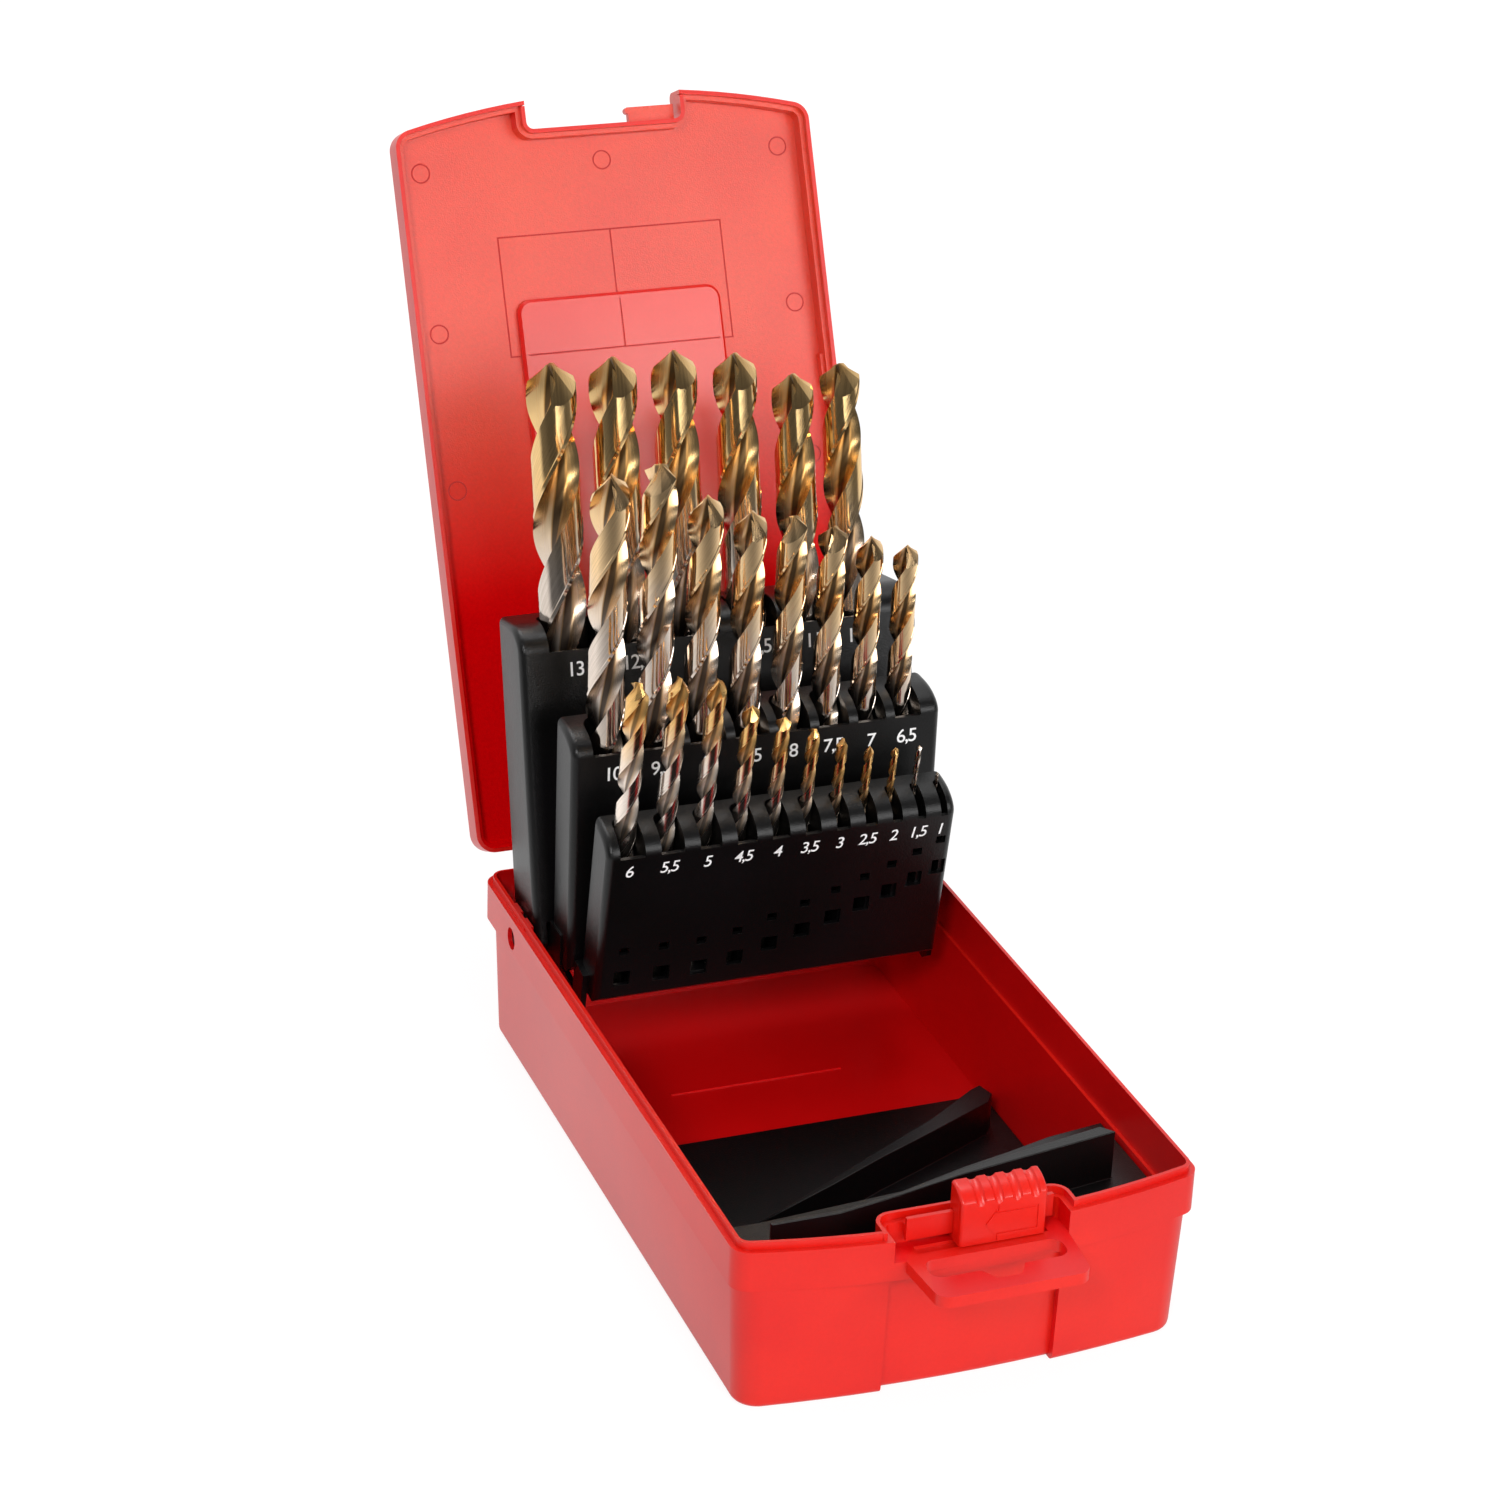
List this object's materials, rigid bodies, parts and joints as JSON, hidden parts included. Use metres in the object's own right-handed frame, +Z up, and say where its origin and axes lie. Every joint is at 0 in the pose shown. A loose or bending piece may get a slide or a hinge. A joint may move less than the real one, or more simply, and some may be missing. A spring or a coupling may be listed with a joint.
{
  "type": "drill bit case",
  "caption": "Flat case with a hinged lid, a sliding latch, a hanger loop and three stepped holders that stand the twist drills up when it opens.",
  "frame": {"origin": "on the tray's flat bottom face, midway between its sides and midway between its back and its front corners", "axes": "+X to the right, +Y to the back (the hinge side), +Z up"},
  "size_m": [0.1174, 0.3087, 0.2291],
  "materials": {
    "red_plastic": "satin moulded",
    "black_plastic": "fine textured",
    "pin_steel": "drawn wire",
    "bright_steel": "ground bright",
    "gold_tip_steel": "ground bright, gold coated towards the tip"
  },
  "bodies": {
    "tray": {"base_tray": "red_plastic", "tip_rest": "black_plastic", "hinge_pin_left": "pin_steel", "hinge_pin_right": "pin_steel", "pivot_pin_left": "black_plastic", "pivot_pin_right": "black_plastic"},
    "lid": {"lid": "red_plastic"},
    "latch": {"latch_slider": "red_plastic"},
    "large_holder": {"holder_large": "black_plastic"},
    "medium_holder": {"holder_medium": "black_plastic"},
    "small_holder": {"holder_small": "black_plastic"},
    "drill_13_0": {"drill_13_0": "gold_tip_steel"},
    "drill_12_5": {"drill_12_5": "gold_tip_steel"},
    "drill_12_0": {"drill_12_0": "gold_tip_steel"},
    "drill_11_5": {"drill_11_5": "gold_tip_steel"},
    "drill_11_0": {"drill_11_0": "gold_tip_steel"},
    "drill_10_5": {"drill_10_5": "gold_tip_steel"},
    "drill_10_0": {"drill_10_0": "gold_tip_steel"},
    "drill_9_5": {"drill_9_5": "gold_tip_steel"},
    "drill_9_0": {"drill_9_0": "gold_tip_steel"},
    "drill_8_5": {"drill_8_5": "gold_tip_steel"},
    "drill_8_0": {"drill_8_0": "gold_tip_steel"},
    "drill_7_5": {"drill_7_5": "gold_tip_steel"},
    "drill_7_0": {"drill_7_0": "gold_tip_steel"},
    "drill_6_5": {"drill_6_5": "gold_tip_steel"},
    "drill_6_0": {"drill_6_0": "gold_tip_steel"},
    "drill_5_5": {"drill_5_5": "gold_tip_steel"},
    "drill_5_0": {"drill_5_0": "gold_tip_steel"},
    "drill_4_5": {"drill_4_5": "gold_tip_steel"},
    "drill_4_0": {"drill_4_0": "gold_tip_steel"},
    "drill_3_5": {"drill_3_5": "gold_tip_steel"},
    "drill_3_0": {"drill_3_0": "gold_tip_steel"},
    "drill_2_5": {"drill_2_5": "gold_tip_steel"},
    "drill_2_0": {"drill_2_0": "gold_tip_steel"},
    "drill_1_5": {"drill_1_5": "bright_steel"},
    "drill_1_0": {"drill_1_0": "bright_steel"}
  },
  "joints": [
    {"name": "lid_hinge", "type": "hinge", "parent": "tray", "child": "lid", "pos_m": [0, 0.0992, 0.0452], "axis": [-1, 0, 0], "range_deg": [-114.6, 0]},
    {"name": "latch_slide", "type": "slide", "parent": "tray", "child": "latch", "axis": [1, 0, 0], "range_m": [-0.0116, 0]},
    {"name": "large_holder_tilt", "type": "hinge", "parent": "tray", "child": "large_holder", "pos_m": [0, 0.071, 0.038], "axis": [-1, 0, 0], "range_deg": [-102.5, 0]},
    {"name": "medium_holder_tilt", "type": "hinge", "parent": "tray", "child": "medium_holder", "pos_m": [0, 0.071, 0.038], "axis": [-1, 0, 0], "range_deg": [-90, 0]},
    {"name": "small_holder_tilt", "type": "hinge", "parent": "tray", "child": "small_holder", "pos_m": [0, 0.071, 0.038], "axis": [-1, 0, 0], "range_deg": [-80.5, 0]},
    {"name": "lift_13_0", "type": "slide", "parent": "large_holder", "child": "drill_13_0", "axis": [0, 0.2164, 0.9763], "range_m": [0, 0.086]},
    {"name": "lift_12_5", "type": "slide", "parent": "large_holder", "child": "drill_12_5", "axis": [0, 0.2164, 0.9763], "range_m": [0, 0.086]},
    {"name": "lift_12_0", "type": "slide", "parent": "large_holder", "child": "drill_12_0", "axis": [0, 0.2164, 0.9763], "range_m": [0, 0.086]},
    {"name": "lift_11_5", "type": "slide", "parent": "large_holder", "child": "drill_11_5", "axis": [0, 0.2164, 0.9763], "range_m": [0, 0.079]},
    {"name": "lift_11_0", "type": "slide", "parent": "large_holder", "child": "drill_11_0", "axis": [0, 0.2164, 0.9763], "range_m": [0, 0.086]},
    {"name": "lift_10_5", "type": "slide", "parent": "large_holder", "child": "drill_10_5", "axis": [0, 0.2164, 0.9763], "range_m": [0, 0.075]},
    {"name": "lift_10_0", "type": "slide", "parent": "medium_holder", "child": "drill_10_0", "axis": [0, 0, 1], "range_m": [0, 0.067]},
    {"name": "lift_9_5", "type": "slide", "parent": "medium_holder", "child": "drill_9_5", "axis": [0, 0, 1], "range_m": [0, 0.057]},
    {"name": "lift_9_0", "type": "slide", "parent": "medium_holder", "child": "drill_9_0", "axis": [0, 0, 1], "range_m": [0, 0.067]},
    {"name": "lift_8_5", "type": "slide", "parent": "medium_holder", "child": "drill_8_5", "axis": [0, 0, 1], "range_m": [0, 0.065]},
    {"name": "lift_8_0", "type": "slide", "parent": "medium_holder", "child": "drill_8_0", "axis": [0, 0, 1], "range_m": [0, 0.067]},
    {"name": "lift_7_5", "type": "slide", "parent": "medium_holder", "child": "drill_7_5", "axis": [0, 0, 1], "range_m": [0, 0.063]},
    {"name": "lift_7_0", "type": "slide", "parent": "medium_holder", "child": "drill_7_0", "axis": [0, 0, 1], "range_m": [0, 0.067]},
    {"name": "lift_6_5", "type": "slide", "parent": "medium_holder", "child": "drill_6_5", "axis": [0, 0, 1], "range_m": [0, 0.063]},
    {"name": "lift_6_0", "type": "slide", "parent": "small_holder", "child": "drill_6_0", "axis": [0, -0.165, 0.9863], "range_m": [0, 0.052]},
    {"name": "lift_5_5", "type": "slide", "parent": "small_holder", "child": "drill_5_5", "axis": [0, -0.165, 0.9863], "range_m": [0, 0.052]},
    {"name": "lift_5_0", "type": "slide", "parent": "small_holder", "child": "drill_5_0", "axis": [0, -0.165, 0.9863], "range_m": [0, 0.047]},
    {"name": "lift_4_5", "type": "slide", "parent": "small_holder", "child": "drill_4_5", "axis": [0, -0.165, 0.9863], "range_m": [0, 0.05]},
    {"name": "lift_4_0", "type": "slide", "parent": "small_holder", "child": "drill_4_0", "axis": [0, -0.165, 0.9863], "range_m": [0, 0.05]},
    {"name": "lift_3_5", "type": "slide", "parent": "small_holder", "child": "drill_3_5", "axis": [0, -0.165, 0.9863], "range_m": [0, 0.049]},
    {"name": "lift_3_0", "type": "slide", "parent": "small_holder", "child": "drill_3_0", "axis": [0, -0.165, 0.9863], "range_m": [0, 0.045]},
    {"name": "lift_2_5", "type": "slide", "parent": "small_holder", "child": "drill_2_5", "axis": [0, -0.165, 0.9863], "range_m": [0, 0.044]},
    {"name": "lift_2_0", "type": "slide", "parent": "small_holder", "child": "drill_2_0", "axis": [0, -0.165, 0.9863], "range_m": [0, 0.038]},
    {"name": "lift_1_5", "type": "slide", "parent": "small_holder", "child": "drill_1_5", "axis": [0, -0.165, 0.9863], "range_m": [0, 0.029]},
    {"name": "lift_1_0", "type": "slide", "parent": "small_holder", "child": "drill_1_0", "axis": [0, -0.165, 0.9863], "range_m": [0, 0.032]}
  ],
  "couplings": [
    {"joint": "large_holder_tilt", "follows": "lid_hinge", "ratio": 0.8944},
    {"joint": "medium_holder_tilt", "follows": "lid_hinge", "ratio": 0.7853},
    {"joint": "small_holder_tilt", "follows": "lid_hinge", "ratio": 0.7024}
  ]
}
